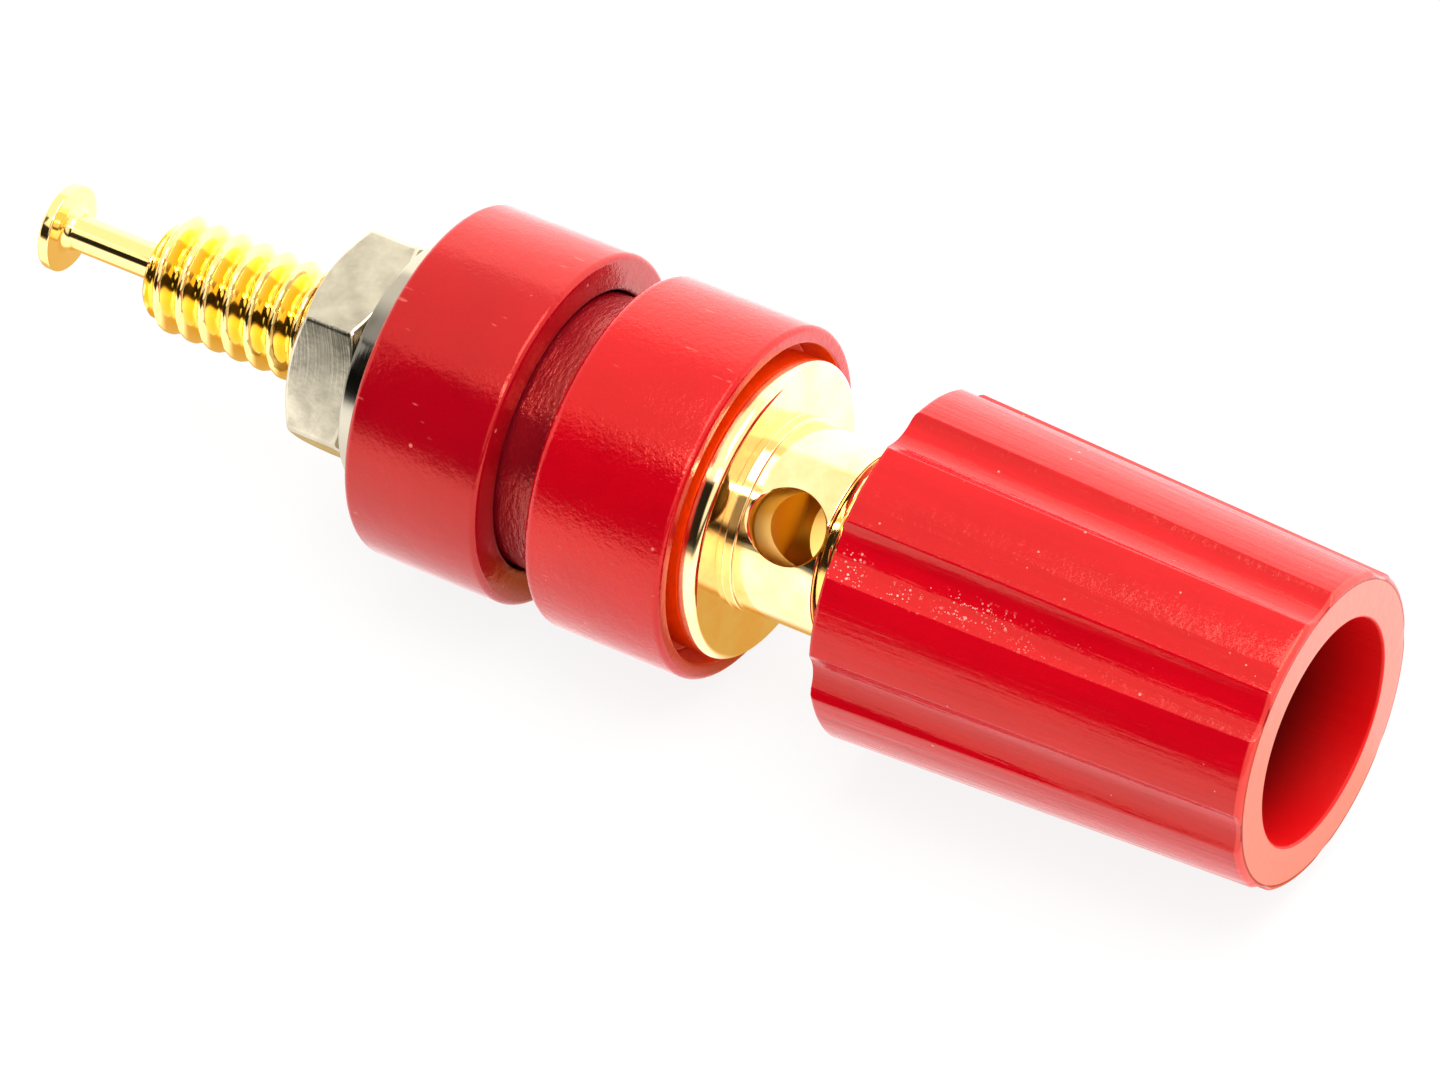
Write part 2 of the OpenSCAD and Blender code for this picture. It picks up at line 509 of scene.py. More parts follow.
@dataclass(frozen=True)
class Thread:
    """A right-handed screw thread, in mm: its stretch of the axis, pitch, size and a place of its crest."""

    x_from: float
    x_to: float
    pitch: float
    crest_r: float
    depth: float
    crest_x: float
    crest_angle: float
    run_out: float
    crest_share: float = 0.06
    root_share: float = 0.92

    def cut(self, obj: Object, material: Material) -> None:
        """Cuts the thread into a turned object.

        Args:
            obj: The object, with at least a dozen rows of points in each pitch.
            material: Its finish.
        """
        sizes = {
            "From": self.x_from * MM,
            "To": self.x_to * MM,
            "Pitch": self.pitch * MM,
            "Crest Radius": self.crest_r * MM,
            "Depth": self.depth * MM,
            "Crest Place": (self.crest_x + self.pitch * self.crest_angle / 360) * MM,
            "Run Out": self.run_out * MM,
        }
        tree = CutTree("thread", sizes)
        bench, given = tree.bench, tree.given
        turns = bench.math("DIVIDE", tree.angle, math.tau)
        along = bench.math("DIVIDE", bench.minus(tree.x, given["Crest Place"]), given["Pitch"])
        phase = bench.math("ADD", along, turns)
        away = bench.times(bench.math("PINGPONG", phase, 0.5), 2.0)
        groove = bench.ramp(away, self.crest_share, self.root_share)
        begin = bench.ramp(tree.x, given["From"], bench.math("ADD", given["From"], given["Run Out"]))
        end = bench.ramp(tree.x, bench.minus(given["To"], given["Run Out"]), given["To"], 1.0, 0.0)
        depth = bench.times(begin, end, given["Depth"])
        surface = bench.minus(given["Crest Radius"], bench.times(groove, depth))
        tree.close(bench.math("MINIMUM", tree.r, surface))
        tree.cut(obj, material)


@dataclass(frozen=True)
class Flutes:
    """The finger grips of the knob, in mm and degrees: round channels that run along it."""

    rear_x: float
    length: float
    rear_r: float
    front_r: float
    count: int
    width: float
    rear_depth: float
    front_depth: float
    first_angle: float
    soft: float
    before_edge: float = 1.7
    after_edge: float = 1.1
    columns: tuple[int, ...] = (6, 9, 14, 9, 6)

    def cut(self, obj: Object, material: Material) -> None:
        """Cuts the channels into the turned knob.

        Args:
            obj: The knob.
            material: Its finish.
        """
        front_width = self.width * self.front_r / self.rear_r
        sizes = {
            "Rear": self.rear_x * MM,
            "Length": self.length * MM,
            "Rear Floor": (self.rear_r - self.rear_depth) * MM,
            "Front Floor": (self.front_r - self.front_depth) * MM,
            "Rear Channel": self.channel_radius(self.width, self.rear_depth) * MM,
            "Front Channel": self.channel_radius(front_width, self.front_depth) * MM,
            "First Angle": math.radians(self.first_angle),
            "Half Step": math.pi / self.count,
            "Soft": self.soft * MM,
        }
        tree = CutTree("flutes", sizes)
        bench, given = tree.bench, tree.given
        share = bench.math("DIVIDE", bench.minus(tree.x, given["Rear"]), given["Length"])
        floor = self.between(bench, given["Rear Floor"], given["Front Floor"], share)
        channel = self.between(bench, given["Rear Channel"], given["Front Channel"], share)
        axis = bench.math("ADD", floor, channel)
        turned = bench.minus(tree.angle, given["First Angle"])
        back = bench.times(given["Half Step"], -1.0)
        local = bench.math("WRAP", turned, given["Half Step"], back)
        aside = bench.times(axis, bench.math("SINE", local))
        inside = bench.minus(bench.times(channel, channel), bench.times(aside, aside))
        reach = bench.math("SQRT", bench.most(inside, 0.0))
        wall = bench.minus(bench.times(axis, bench.math("COSINE", local)), reach)
        tree.close(bench.math("SMOOTH_MIN", tree.r, wall, given["Soft"]))
        tree.cut(obj, material)

    @staticmethod
    def channel_radius(width: float, depth: float) -> float:
        """The radius of a round channel of that width and depth."""
        return (width * width / 4 + depth * depth) / (2 * depth)

    @staticmethod
    def between(bench: Bench, rear: Any, front: Any, share: Any) -> NodeSocket:
        """A size part of the way from the rear to the front."""
        return bench.math("MULTIPLY_ADD", bench.minus(front, rear), share, rear)

    def angles(self) -> np.ndarray:
        """Places the knob's columns, which crowd round the edges of the channels.

        Returns:
            Their angles, in radians.
        """
        step = 360 / self.count
        edge = math.degrees(math.asin(self.width / 2 / self.rear_r))
        near, far, half = edge - self.before_edge, edge + self.after_edge, step / 2
        stops = (-half, -far, -near, near, far, half)
        runs = zip(stops, stops[1:], self.columns)
        one = np.concatenate([np.linspace(a, b, n, endpoint=False) for a, b, n in runs])
        every = [self.first_angle + k * step + one for k in range(self.count)]
        return np.radians(np.concatenate(every))


def new_material(name: str) -> tuple[Material, Bench, Node]:
    """Makes a material.

    Args:
        name: Its name.

    Returns:
        The material, a bench for its nodes and its surface shader.
    """
    material = bpy.data.materials.new(name)
    material.use_nodes = True
    shader = next(n for n in material.node_tree.nodes if n.type == "BSDF_PRINCIPLED")
    return material, Bench(material.node_tree), shader


@dataclass(frozen=True)
class Pattern:
    """A noise: its cells per metre, in all or per axis, its detail and weight, and a relief's depth in mm."""

    cells: float | Triple
    detail: float = 2.0
    weight: float = 0.5
    depth: float = 0.0


@dataclass(frozen=True)
class Specks:
    """Round specks: cells per metre, a speck's size in its cell, and the share of the cells that hold one."""

    cells: float
    size: float
    kept: float


@dataclass(frozen=True, kw_only=True)
class Finish:
    """What every finish has: a mottled colour, and a gloss that smears make duller by its spread."""

    name: str
    light: Colour
    deep: Colour
    gloss: float
    spread: float
    tone: Pattern
    smear: Pattern
    smear_span: Span = (0.3, 0.75)


class Surface:
    """A material in the making, on which colours, dull places and reliefs are laid in turn."""

    def __init__(self, finish: Finish) -> None:
        """Starts with a finish's mottled colour and smeared gloss.

        Args:
            finish: The finish.
        """
        self.material, self.bench, self.shader = new_material(finish.name)
        self.place = self.bench.place()
        self.x, self.radius, self.angle, _ = polar(self.bench, self.place)
        tone = self.bench.ramp(self.height(finish.tone), *TONE_SPAN)
        self.colour = self.bench.blend(tone, finish.deep, finish.light)
        levels = (finish.gloss, finish.gloss + finish.spread)
        self.rough = self.bench.ramp(self.height(finish.smear), *finish.smear_span, *levels)
        self.normal: NodeSocket | None = None

    def height(self, pattern: Pattern) -> NodeSocket:
        """Lays out a noise.

        Args:
            pattern: The noise.

        Returns:
            Its height at each place.
        """
        vector, scale = self.place, pattern.cells
        if isinstance(scale, tuple):
            vector = self.bench.add("ShaderNodeMapping", {"Vector": vector, "Scale": scale}).outputs[0]
            scale = 1.0
        inputs = {"Vector": vector, "Scale": scale, "Detail": pattern.detail, "Roughness": pattern.weight}
        return self.bench.add("ShaderNodeTexNoise", inputs).outputs[0]

    def specks(self, kind: Specks) -> NodeSocket:
        """Scatters specks.

        Args:
            kind: Their size and number.

        Returns:
            1 in a speck and 0 round it.
        """
        bench = self.bench
        grid = bench.add("ShaderNodeTexVoronoi", {"Vector": self.place, "Scale": kind.cells})
        split = bench.add("ShaderNodeSeparateColor", {0: grid.outputs["Color"]})
        radius = bench.times(split.outputs[1], kind.size)
        dot = bench.ramp(grid.outputs["Distance"], bench.times(radius, SPECK_CORE), radius, 1.0, 0.0)
        return bench.times(dot, bench.below(split.outputs[0], kind.kept))

    def paint(self, mask: Any, colour: Any) -> None:
        """Lays a colour over what a mask shows."""
        self.colour = self.bench.blend(mask, self.colour, colour)

    def dull(self, mask: Any, rough: float) -> None:
        """Makes what a mask shows at least that rough."""
        self.rough = self.bench.most(self.rough, self.bench.times(mask, rough))

    def relief(self, height: Any, depth: float) -> None:
        """Lays on a relief of a depth in mm."""
        self.normal = self.bench.bump(height, depth, self.normal)

    def done(self, constants: Mapping[str, Any]) -> Material:
        """Joins everything to the shader.

        Args:
            constants: What is the same everywhere, by the names of the shader's sockets.

        Returns:
            The finished material.
        """
        inputs = self.shader.inputs
        laid = {"Base Color": self.colour, "Roughness": self.rough, "Normal": self.normal}
        for name, socket in laid.items():
            self.bench.tree.links.new(socket, inputs[name])
        for name, value in constants.items():
            inputs[name].default_value = value
        return self.material


@dataclass(frozen=True, kw_only=True)
class InsulatorFinish(Finish):
    """Glossy red moulding with waves, dust and rubbed marks, a rough neck where the panel sits that is
    painted dark as painted shade in the groove, and a painted orange glow on the recess wall, in mm.
    """

    ripple: Pattern
    grain: Pattern
    spread: float = 0.06
    tone: Pattern = Pattern(260, 4, 0.6)
    smear: Pattern = Pattern(420, 3)
    smear_span: Span = (0.35, 0.75)
    # Painted shade: the neck in the groove between the rings is painted a dark red; its roughness and pits
    # are real.
    neck: Colour = (0.22, 0.004, 0.010, 1)
    mark: Colour = (0.86, 0.22, 0.18, 1)
    # Painted glow: a bright orange-red on the recess wall stands in for light thrown onto it by the gold
    # collar.
    recess_painted_glow: Colour = (0.97, 0.10, 0.012, 1)
    glint: Colour = (0.8, 0.14, 0.1, 1)
    neck_r: float = 6.0
    neck_soft: float = 0.15
    neck_rough: float = 0.1
    recess_r: float = 6.57
    recess_soft: float = 0.01
    recess_x: float = 4.2
    dust: Specks = Specks(900, 0.1, 0.35)
    dust_share: float = 0.7
    rubbed: Pattern = Pattern((700, 2600, 2600), 3)
    rubbed_span: Span = (0.7, 0.76)
    rubbed_share: float = 0.35
    mark_rough: float = 0.5
    waves: Pattern = Pattern(330, depth=0.012)
    pits: Pattern = Pattern((7000, 2200, 2200), 3, depth=0.04)

    def build(self) -> Material:
        """Builds the material.

        Returns:
            The material.
        """
        on = Surface(self)
        bench = on.bench
        neck = bench.edge(on.radius, self.neck_r * MM, self.neck_soft * MM, 1.0, 0.0)
        recess_glow_mask = bench.edge(on.radius, self.recess_r * MM, self.recess_soft * MM, 1.0, 0.0)
        dust = bench.times(on.specks(self.dust), self.dust_share)
        rubbed = bench.ramp(on.height(self.rubbed), *self.rubbed_span, 0.0, self.rubbed_share)
        marks = bench.most(dust, rubbed)
        on.paint(marks, self.mark)
        # Painted shade on the neck in the groove.
        on.paint(neck, self.neck)
        # Painted glow on the recess wall beside the collar.
        on.paint(bench.times(recess_glow_mask, bench.above(on.x, self.recess_x * MM)), self.recess_painted_glow)
        on.dull(neck, self.neck_rough)
        on.dull(marks, self.mark_rough)
        for pattern in (self.waves, self.ripple, self.grain):
            on.relief(on.height(pattern), pattern.depth)
        on.relief(bench.times(on.height(self.pits), neck), self.pits.depth)
        return on.done({"IOR": PLASTIC_IOR, "Specular Tint": self.glint})


FRONT_RED = InsulatorFinish(
    name="front_insulator_red",
    light=(0.54, 0.0008, 0.0085, 1),
    deep=(0.475, 0.0006, 0.0075, 1),
    gloss=0.06,
    ripple=Pattern(1500, 3, 0.6, 0.018),
    grain=Pattern(5200, 3, 0.65, 0.02),
)
# Painted shade: the rear ring is a darker copy of the same red moulding as the front one.
REAR_RED = InsulatorFinish(
    name="rear_insulator_red",
    light=(0.39, 0.0008, 0.008, 1),
    deep=(0.345, 0.0006, 0.007, 1),
    gloss=0.1,
    ripple=Pattern(1500, 3, 0.6, 0.016),
    grain=Pattern(5200, 3, 0.65, 0.01),
)


@dataclass(frozen=True, kw_only=True)
class KnobFinish(Finish):
    """Red moulding with fine lines and grit in one channel, a front face and rim painted pale as painted
    sheen, and a mouth painted dark deep inside and bright near its lip as painted shade and light, in mm and
    degrees.
    """

    name: str = "knob_red"
    light: Colour = (0.59, 0.0012, 0.009, 1)
    deep: Colour = (0.51, 0.0008, 0.008, 1)
    gloss: float = 0.06
    spread: float = 0.06
    tone: Pattern = Pattern((120, 900, 900), 4, 0.6)
    smear: Pattern = Pattern(600, 3)
    grit: Colour = (0.95, 0.52, 0.45, 1)
    # Painted sheen: the front face is painted pale to stand in for the light that it catches.
    face: Colour = (0.82, 0.22, 0.175, 1)
    # Painted shade and light in the mouth: its wall runs from a dark throat deep inside to a bright red near
    # the lip.
    lip: Colour = (0.74, 0.0006, 0.004, 1)
    throat_painted_shade: Colour = (0.035, 0.0003, 0.0004, 1)
    # Painted sheen: a pinker red on the rounded front rim stands in for its highlight.
    rim_painted_sheen: Colour = (0.72, 0.045, 0.04, 1)
    rim_line: Colour = (0.25, 0.004, 0.006, 1)
    glint: Colour = (0.36, 0.14, 0.1, 1)
    dull: float = 0.42
    face_x: float = 31.145
    face_soft: float = 0.004
    painted_shade_x: Span = (26.4, 30.7)
    mouth_r: float = 4.75
    rim_x: float = 30.9
    rim_soft: float = 0.03
    line_x: float = 31.08
    line_r: float = 6.18
    line_half: Span = (0.03, 0.06)
    line_share: float = 0.85
    grit_angle: float = 38.5
    grit_half: Span = (3.5, 6.5)
    grit_x: Span = (13.2, 27.0)
    patch: Pattern = Pattern(700)
    patch_span: Span = (0.38, 0.55)
    coarse: Specks = Specks(5600, 0.5, 0.35)
    fine: Specks = Specks(10500, 0.55, 0.5)
    dust: Specks = Specks(1500, 0.12, 0.5)
    dust_share: float = 0.5
    speck_depth: float = 0.02
    lines: Pattern = Pattern((110, 2300, 2300), 3, depth=0.032)
    ripple: Pattern = Pattern(1400, 3, 0.6, 0.014)
    grain: Pattern = Pattern(6000, 3, 0.65, 0.006)

    def held_grit(self, on: Surface) -> NodeSocket:
        """Scatters grit in patches along one channel.

        Args:
            on: The material.

        Returns:
            1 in a grain and 0 elsewhere.
        """
        bench = on.bench
        aside = bench.apart(on.angle, math.radians(self.grit_angle))
        channel = bench.ramp(aside, *radians(self.grit_half), 1.0, 0.0)
        stretch = bench.ramp(on.x, *metres(self.grit_x), 1.0, 0.0)
        held = bench.times(channel, stretch, bench.ramp(on.height(self.patch), *self.patch_span))
        return bench.times(bench.most(on.specks(self.coarse), on.specks(self.fine)), held)

    def build(self) -> Material:
        """Builds the material.

        Returns:
            The material.
        """
        on = Surface(self)
        bench, x = on.bench, on.x
        inside = bench.below(on.radius, self.mouth_r * MM)
        outside = bench.above(on.radius, self.mouth_r * MM)
        dust = bench.times(on.specks(self.dust), outside, self.dust_share)
        specks = bench.most(self.held_grit(on), dust)
        at_rim = bench.times(bench.edge(x, self.rim_x * MM, self.rim_soft * MM), outside)
        face = bench.edge(x, self.face_x * MM, self.face_soft * MM)
        off_line = bench.apart(on.radius, self.line_r * MM)
        line = bench.ramp(off_line, *metres(self.line_half), self.line_share, 0.0)
        on.paint(specks, self.grit)
        # Painted shade and light: the mouth's wall is painted darker the deeper it goes.
        on.paint(inside, bench.blend(bench.ramp(x, *metres(self.painted_shade_x)), self.throat_painted_shade, self.lip))
        # Painted sheen on the rounded front rim.
        on.paint(at_rim, self.rim_painted_sheen)
        # Painted sheen: the front face is painted pale.
        on.paint(face, self.face)
        on.paint(bench.times(line, at_rim, bench.above(x, self.line_x * MM)), self.rim_line)
        on.dull(bench.most(face, inside), self.dull)
        for pattern in (self.lines, self.ripple, self.grain):
            on.relief(on.height(pattern), pattern.depth)
        on.relief(specks, self.speck_depth)
        return on.done({"IOR": PLASTIC_IOR, "Specular Tint": self.glint})


@dataclass(frozen=True, kw_only=True)
class MetalFinish(Finish):
    """Turned or plated metal with fine tool marks round the axis, in mm and degrees.

    Colours are used where given: a darker amber in the cross hole and the plug's bore, a deeper amber in the
    thread's groove and a deeper gold at the rear end, all painted shade; and a colour laid outside a band
    round the axis, so that the band keeps the finish's darker colour as painted shade.
    """

    ring_depth: float
    dent_depth: float
    tone: Pattern = Pattern(500, 4, 0.6)
    smear: Pattern = Pattern(700, 3)
    dents: Pattern = Pattern(900, 3, 0.6)
    ring_cells: float = 9000.0
    ring_detail: float = 3.0
    hole_painted_shade: Colour | None = None
    groove: Colour | None = None
    rear: Colour | None = None
    unshaded_colour: Colour | None = None
    drilled_rough: float = 0.35
    rear_x: Span = (-3.0, 3.0)
    painted_shade_angle: float = 43.0
    painted_shade_half: Span = (14.0, 28.0)
    groove_r: Span = (1.8, 2.3)
    groove_x: Span = (-20.7, -3.0)
    hole_x: float = 9.3
    hole_r: float = 1.5
    hole_angle: float = 40.0
    hole_top_r: float = 3.8
    lip_reach: float = 0.2
    bore_r: float = 2.03

    def in_hole(self, on: Surface) -> NodeSocket:
        """Finds the walls of the cross hole and of the plug's bore.

        Args:
            on: The material.

        Returns:
            1 in the hole or the bore and 0 elsewhere.
        """
        bench = on.bench
        along = tuple(outward(self.hole_angle))
        centre = (self.hole_x * MM, 0.0, 0.0)
        offset = bench.add("ShaderNodeVectorMath", {0: on.place, 1: centre}, operation="SUBTRACT").outputs[0]
        cross = bench.add("ShaderNodeVectorMath", {0: offset, 1: along}, operation="CROSS_PRODUCT").outputs[0]
        away = bench.add("ShaderNodeVectorMath", {0: cross}, operation="LENGTH").outputs["Value"]
        near = bench.below(away, (self.hole_r + self.lip_reach) * MM)
        hole_painted_shade = bench.times(near, bench.below(on.radius, self.hole_top_r * MM))
        bore = bench.times(bench.below(on.radius, self.bore_r * MM), bench.above(on.x, 0.0))
        return bench.most(hole_painted_shade, bore)

    def build(self) -> Material:
        """Builds the material.

        Returns:
            The material.
        """
        on = Surface(self)
        bench, x = on.bench, on.x
        inputs = {"W": bench.math("ADD", x, on.radius), "Scale": self.ring_cells, "Detail": self.ring_detail}
        rings = bench.add("ShaderNodeTexNoise", inputs, noise_dimensions="1D").outputs[0]
        on.relief(rings, self.ring_depth)
        on.relief(on.height(self.dents), self.dent_depth)
        # Painted shade: the rear end is painted a deeper gold.
        if self.rear is not None:
            on.paint(bench.ramp(x, *metres(self.rear_x), 1.0, 0.0), self.rear)
        # Painted shade: outside a band of angles round the axis the plain colour is laid, so the band keeps a
        # dark painted shade.
        if self.unshaded_colour is not None:
            aside = bench.apart(on.angle, math.radians(self.painted_shade_angle))
            on.paint(bench.ramp(aside, *radians(self.painted_shade_half)), self.unshaded_colour)
        # Painted shade in the cross hole and the plug's bore.
        if self.hole_painted_shade is not None:
            hole = self.in_hole(on)
            on.paint(hole, self.hole_painted_shade)
            on.dull(hole, self.drilled_rough)
        # Painted shade: the thread's roots are painted a deeper amber.
        if self.groove is not None:
            start, stop = metres(self.groove_x)
            low = bench.ramp(on.radius, *metres(self.groove_r), 1.0, 0.0)
            on.paint(bench.times(low, bench.above(x, start), bench.below(x, stop)), self.groove)
        return on.done({"Metallic": 1.0})


GOLD = MetalFinish(
    name="gold_plate",
    light=(1.0, 0.77, 0.42, 1),
    deep=(1.0, 0.66, 0.28, 1),
    gloss=0.07,
    spread=0.06,
    ring_depth=0.0001,
    dent_depth=0.003,
    # Painted shade: a darker amber in the cross hole, on its lip and in the plug's bore.
    hole_painted_shade=(0.78, 0.46, 0.05, 1),
    # Painted shade: a deeper amber in the thread's roots stands in for the shade and gold-on-gold light
    # there.
    groove=(1.0, 0.60, 0.07, 1),
    # Painted shade: the rear end is painted a deeper gold than the body, which stands in for the dimmer light
    # that falls there.
    rear=(1.0, 0.71, 0.27, 1),
)
NICKEL = MetalFinish(
    name="nickel_plate",
    light=(0.61, 0.55, 0.42, 1),
    deep=(0.38, 0.342, 0.257, 1),
    gloss=0.17,
    spread=0.14,
    ring_depth=0.006,
    dent_depth=0.012,
)
# Painted shade: the washer's colour is dark, standing in for the dark it reflects, and the nickel colour is
# laid only outside a band of angles round the axis.
WASHER = MetalFinish(
    name="washer_plate",
    light=(0.20, 0.18, 0.15, 1),
    deep=(0.14, 0.13, 0.105, 1),
    gloss=0.1,
    spread=0.08,
    ring_depth=0.001,
    dent_depth=0.003,
    unshaded_colour=(0.43, 0.39, 0.31, 1),
)
BRASS = MetalFinish(
    name="turned_brass",
    light=(0.82, 0.60, 0.24, 1),
    deep=(0.70, 0.47, 0.16, 1),
    gloss=0.2,
    spread=0.12,
    ring_depth=0.002,
    dent_depth=0.004,
)


@dataclass
class ContactPost:
    """The gold post: turret, threaded stud, collar, body with its wire hole, and threaded spigot, in mm."""

    head_x: float = -25.9
    turret_r: float = 1.8
    turret_t: float = 0.5
    turret_lean: float = 0.04
    neck_r: float = 0.75
    stud_x: float = -20.9
    stud_r: float = 2.38
    stud_depth: float = 0.6
    lead_drop: float = 0.55
    lead_len: float = 0.65
    thread_lead: float = 0.35
    thread_end_x: float = -3.0
    overlap: float = 0.3
    recess_x: float = 4.65
    collar_x: float = 7.05
    collar_r: float = 6.1
    bead_r: float = 4.02
    bead_len: float = 0.4
    bead_lean: float = 0.02
    body_r: float = 3.9
    body_x: float = 10.95
    spigot_r: float = 3.8
    spigot_x: float = 24.0
    spigot_depth: float = 0.5
    spigot_pitch: float = 1.0
    spigot_chamfer: float = 0.4
    spigot_lead: Span = (0.1, 0.2)
    plug_r: float = 2.0
    plug_end_x: float = 7.4
    drill_x: float = 6.2
    wire_r: float = 1.5
    wire_x: float = 9.3
    wire_angle: float = 40.0
    flare: float = 0.28
    flare_from: float = 3.5
    flare_rows: int = 6
    wire_columns: int = 72
    columns: int = 128
    rows_per_pitch: int = 15

    def build(self, gold: Material) -> None:
        """Builds the post from its three stretches.

        Args:
            gold: Its finish.
        """
        parts = [self.stud(gold), self.body(gold), self.spigot(gold)]
        work = bmesh.new()
        for part in parts:
            work.from_mesh(part.data)
            bpy.data.objects.remove(part)
        mesh = bpy.data.meshes.new("contact_post_gold")
        work.to_mesh(mesh)
        work.free()
        post = new_object("contact_post_gold", mesh)
        dress(post, gold)
        shade(post)
        hand_over(post, Body.POST, Slot.GOLD, "contact_post")

    def stud(self, gold: Material) -> Object:
        """Turns the turret, its neck and the stud, and cuts the stud's thread.

        Args:
            gold: The finish.

        Returns:
            One stretch of the post.
        """
        neck_x = self.head_x + self.turret_t
        inner_x = self.recess_x + self.overlap
        corners = [
            Corner(self.head_x, 0),
            Corner(self.head_x, self.turret_r, 0.14),
            Corner(neck_x, self.turret_r, 0.1),
            Corner(neck_x + self.turret_lean, self.neck_r, 0.4),
            Corner(self.stud_x, self.neck_r, 0.3),
            Corner(self.stud_x, self.stud_r - self.lead_drop, 0.12),
            Corner(self.stud_x + self.lead_len, self.stud_r, 0.2),
            Corner(inner_x, self.stud_r),
            Corner(inner_x, 0),
        ]
        profile = filleted(corners, closed=False)
        step = INCH_PITCH / self.rows_per_pitch
        profile = refined(profile, step, self.stud_x, inner_x, closed=False)
        obj = lathe("stud", profile, even_angles(self.columns), closed=False)
        thread = Thread(
            x_from=self.stud_x - self.thread_lead,
            x_to=self.thread_end_x,
            pitch=INCH_PITCH,
            crest_r=self.stud_r,
            depth=self.stud_depth,
            crest_x=-19.02,
            crest_angle=39,
            run_out=0.6,
        )
        thread.cut(obj, gold)
        return obj

    def body(self, gold: Material) -> Object:
        """Turns the collar and the body, and drills the wire hole.

        Args:
            gold: The finish.

        Returns:
            One stretch of the post.
        """
        bead_x = self.collar_x + self.bead_len
        corners = [
            Corner(self.recess_x, 0),
            Corner(self.recess_x, self.collar_r, 0.2),
            Corner(self.collar_x, self.collar_r, 0.32),
            Corner(self.collar_x, self.bead_r, 0.03),
            Corner(bead_x, self.bead_r, 0.12),
            Corner(bead_x + self.bead_lean, self.body_r, 0.02),
            Corner(self.body_x, self.body_r, 0.1),
            Corner(self.body_x, self.plug_r),
            Corner(self.plug_end_x, self.plug_r),
            Corner(self.drill_x, 0),
        ]
        profile = filleted(corners, closed=False)
        obj = lathe("body", profile, even_angles(self.columns), closed=False)
        cutter = self.drill()
        hole = obj.modifiers.new("hole", "BOOLEAN")
        hole.object = cutter
        hole.operation = "DIFFERENCE"
        hole.solver = "EXACT"
        bake_modifiers(obj)
        bpy.data.objects.remove(cutter)
        dress(obj, gold)
        return obj

    def drill(self) -> Object:
        """Makes a round bar that stands where the wire hole goes.

        Returns:
            The bar, with a flare for each lip of the hole.
        """
        along = outward(self.wire_angle)
        across = np.cross(along, [1, 0, 0])
        reach = self.collar_r
        lip = []
        for t in np.linspace(0, 1, self.flare_rows):
            height = self.flare_from + (self.body_r - self.flare_from) * t
            lip.append((height, self.wire_r + self.flare * t * t))
        half = lip + [(reach, self.wire_r + self.flare), (reach, 0)]
        profile = [(-h, r) for h, r in reversed(half)] + half
        columns = []
        for a in even_angles(self.wire_columns):
            out = np.array([1, 0, 0]) * math.cos(a) + across * math.sin(a)
            columns.append([[self.wire_x, 0, 0] + along * h + out * r for h, r in profile])
        return skinned("drill", np.array(columns), closed=False)

    def spigot(self, gold: Material) -> Object:
        """Turns the spigot with its plug bore and cuts its thread.

        Args:
            gold: The finish.

        Returns:
            One stretch of the post.
        """
        chamfer_x = self.spigot_x - self.spigot_chamfer
        corners = [
            Corner(self.body_x, self.plug_r),
            Corner(self.body_x, self.spigot_r),
            Corner(chamfer_x, self.spigot_r, 0.05),
            Corner(self.spigot_x, self.spigot_r - self.spigot_chamfer, 0.08),
            Corner(self.spigot_x, self.plug_r + self.spigot_chamfer, 0.08),
            Corner(chamfer_x, self.plug_r, 0.05),
        ]
        profile = filleted(corners, closed=True)
        step = self.spigot_pitch / self.rows_per_pitch
        outer = profile[:, 1] > (self.plug_r + self.spigot_r) / 2
        cut = refined(profile[outer], step, self.body_x, self.spigot_x, closed=False)
        profile = np.concatenate([profile[:1], cut, profile[~outer][1:]])
        obj = lathe("spigot", profile, even_angles(self.columns), closed=True)
        thread = Thread(
            x_from=self.body_x - self.spigot_lead[0],
            x_to=self.spigot_x + self.spigot_lead[1],
            pitch=self.spigot_pitch,
            crest_r=self.spigot_r,
            depth=self.spigot_depth,
            crest_x=11.55,
            crest_angle=40,
            run_out=0.5,
        )
        thread.cut(obj, gold)
        return obj


@dataclass
class Insulators:
    """The two red rings that hold the post off the panel. Sizes in mm."""

    outer_r: float = 7.25
    front_x: float = 6.15
    recess_x: float = 4.65
    recess_r: float = 6.55
    boss_r: float = 5.65
    boss_x: float = -5.5
    rear_front_x: float = -2.1
    rear_back_x: float = -8.1
    socket_r: float = 5.75
    socket_x: float = -5.6
    bore_r: float = 2.43
    columns: int = 160

    def build_front(self, red: Material) -> None:
        """Builds the ring in front of the panel.

        Args:
            red: Its finish.
        """
        corners = [
            Corner(self.boss_x, self.bore_r, 0.1),
            Corner(self.boss_x, self.boss_r, 0.3),
            Corner(0, self.boss_r, 0.12),
            Corner(0, self.outer_r, 0.45),
            Corner(self.front_x, self.outer_r, 0.24),
            Corner(self.front_x, self.recess_r, 0.12),
            Corner(self.recess_x, self.recess_r, 0.1),
            Corner(self.recess_x, self.bore_r, 0.1),
        ]
        obj = turned_ring("front_insulator_red", corners, self.columns, red)
        hand_over(obj, Body.POST, Slot.INSULATOR, "front_insulator")

    def build_rear(self, red: Material) -> None:
        """Builds the ring behind the panel.

        Args:
            red: Its finish.
        """
        corners = [
            Corner(self.rear_back_x, self.bore_r, 0.1),
            Corner(self.rear_back_x, self.outer_r, 0.3),
            Corner(self.rear_front_x, self.outer_r, 0.26),
            Corner(self.rear_front_x, self.socket_r, 0.15),
            Corner(self.socket_x, self.socket_r, 0.1),
            Corner(self.socket_x, self.bore_r, 0.1),
        ]
        obj = turned_ring("rear_insulator_red", corners, self.columns, red)
        hand_over(obj, Body.REAR_CLAMP, Slot.INSULATOR, "rear_insulator")


